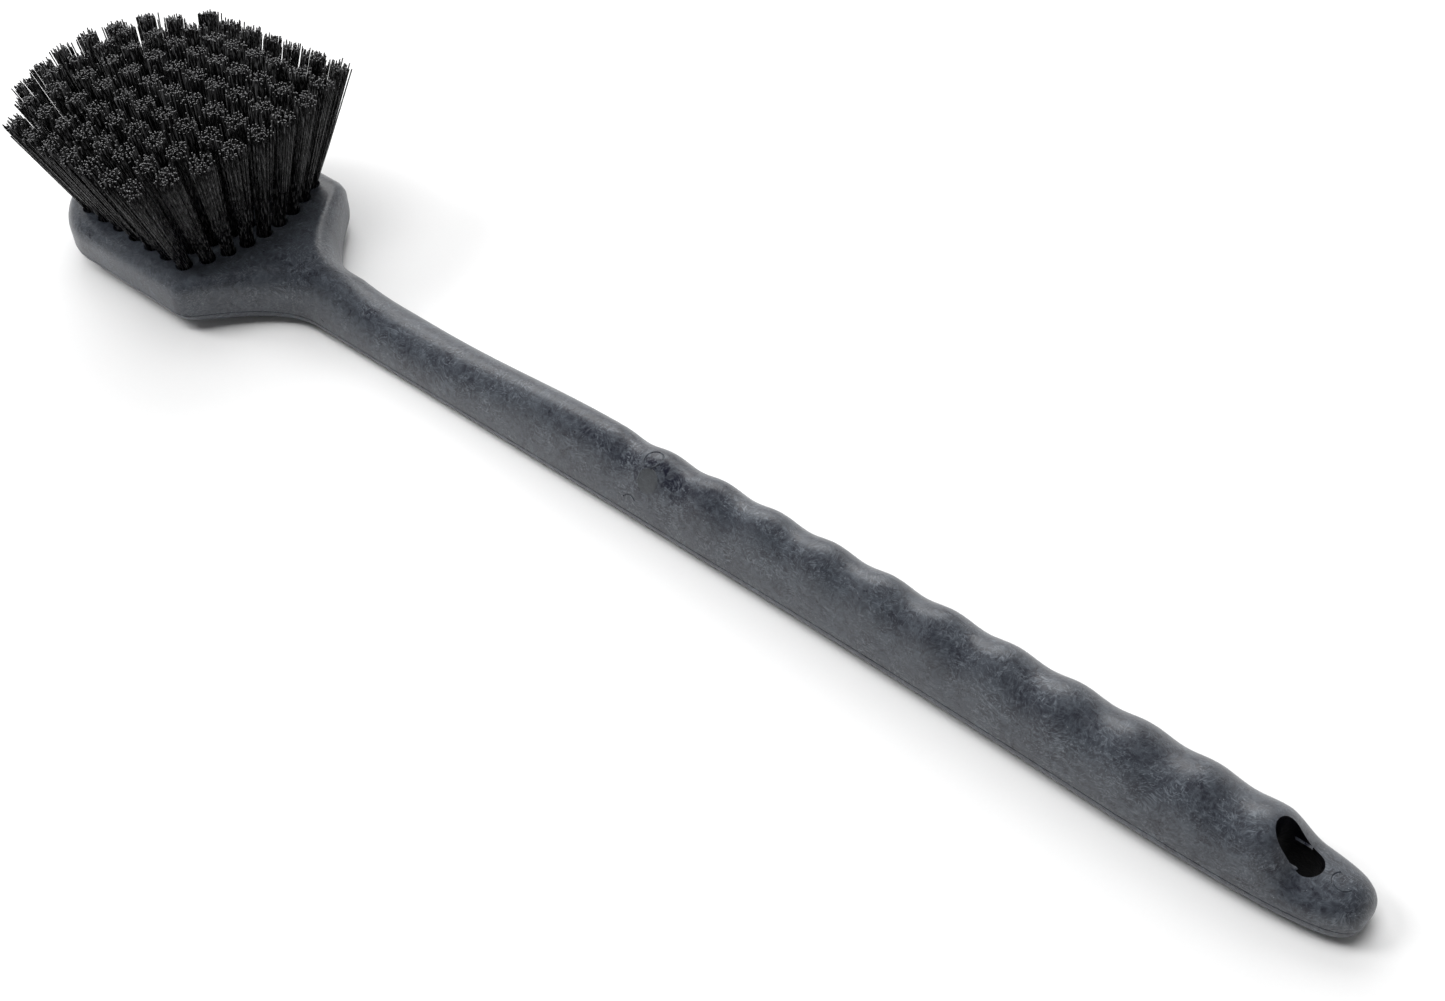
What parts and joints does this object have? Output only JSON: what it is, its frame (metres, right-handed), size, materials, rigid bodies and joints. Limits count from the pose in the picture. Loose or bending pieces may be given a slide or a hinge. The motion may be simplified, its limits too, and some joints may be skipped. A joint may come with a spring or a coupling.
{
  "type": "wheel brush",
  "caption": "Long handled scrub brush: one moulded block and finger-grip handle with a hang slot, and flared staple-set bristle tufts held by wire anchors.",
  "frame": {"origin": "on the flat back, under the middle of the bristle block", "axes": "+X along the handle towards its hang slot, +Z out of the bristle face, +Y across the block"},
  "size_m": [0.5198, 0.0968, 0.0688],
  "materials": {
    "moulding": "dark slate structural foam plastic with faint swirled flow marks, satin where handled",
    "bristle": "black synthetic filament with a soft linear sheen, paler where the tips are cut",
    "anchor_wire": "flat drawn wire, sheared ends"
  },
  "bodies": {
    "root": {"handle": "moulding", "tufts_row_01": "bristle", "tufts_row_02": "bristle", "tufts_row_03": "bristle", "tufts_row_04": "bristle", "tufts_row_05": "bristle", "tufts_row_06": "bristle", "tufts_row_07": "bristle", "tufts_row_08": "bristle", "tufts_row_09": "bristle", "tufts_row_10": "bristle", "anchors_row_01": "anchor_wire", "anchors_row_02": "anchor_wire", "anchors_row_03": "anchor_wire", "anchors_row_04": "anchor_wire", "anchors_row_05": "anchor_wire", "anchors_row_06": "anchor_wire", "anchors_row_07": "anchor_wire", "anchors_row_08": "anchor_wire", "anchors_row_09": "anchor_wire", "anchors_row_10": "anchor_wire"}
  },
  "joints": []
}
